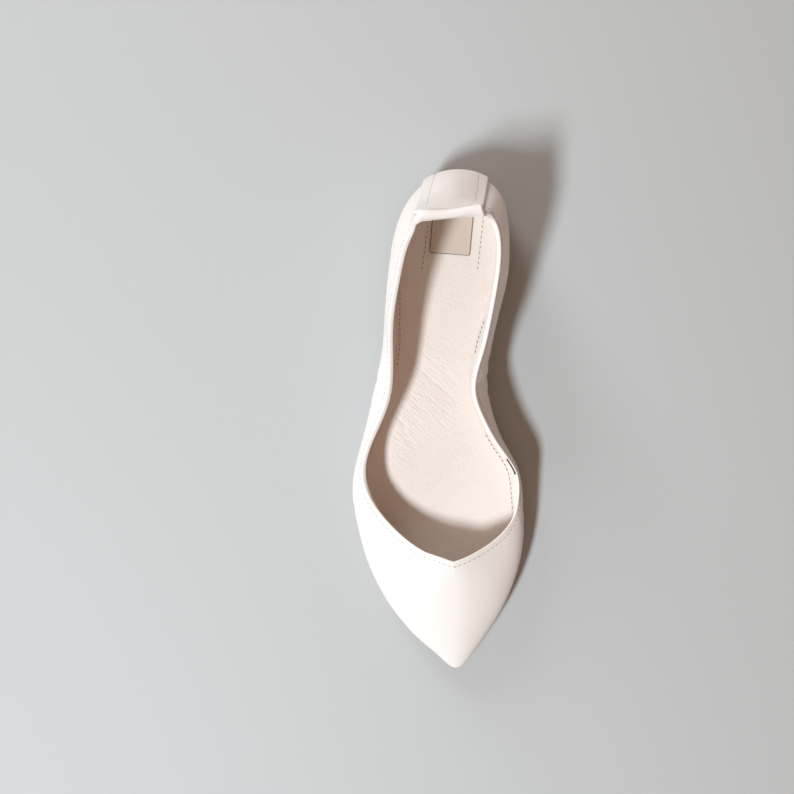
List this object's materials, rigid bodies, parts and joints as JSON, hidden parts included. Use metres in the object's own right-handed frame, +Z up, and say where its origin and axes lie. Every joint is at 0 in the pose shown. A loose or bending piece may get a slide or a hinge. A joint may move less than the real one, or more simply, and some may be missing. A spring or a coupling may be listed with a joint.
{
  "type": "pointed toe flat shoe",
  "caption": "Low-cut pointed toe ballet flat in pale leather, with a back strip folded into a pull tab, a leather outsole and a low stacked heel.",
  "frame": {"origin": "middle of the lowest face of the bounding box, on the floor the shoe stands on", "axes": "+Z up, +Y from the toe to the heel, +X to the medial (inner) side of the right foot"},
  "size_m": [0.0896, 0.2616, 0.0744],
  "materials": {
    "upper_leather": "smooth nude leather with a fine grain and a low sheen",
    "sock_leather": "matt pale lining leather with a fine creased grain",
    "label_leather": "matt greige patch",
    "sole_leather": "natural light tan sole leather with a brown stained edge",
    "heel_leather": "brown stained heel layers with a soft polish"
  },
  "bodies": {
    "root": {"upper": "upper_leather", "back_strip": "upper_leather", "insole": "sock_leather", "label": "label_leather", "outsole": "sole_leather", "heel_lift": "heel_leather", "heel_block": "heel_leather"}
  },
  "joints": []
}
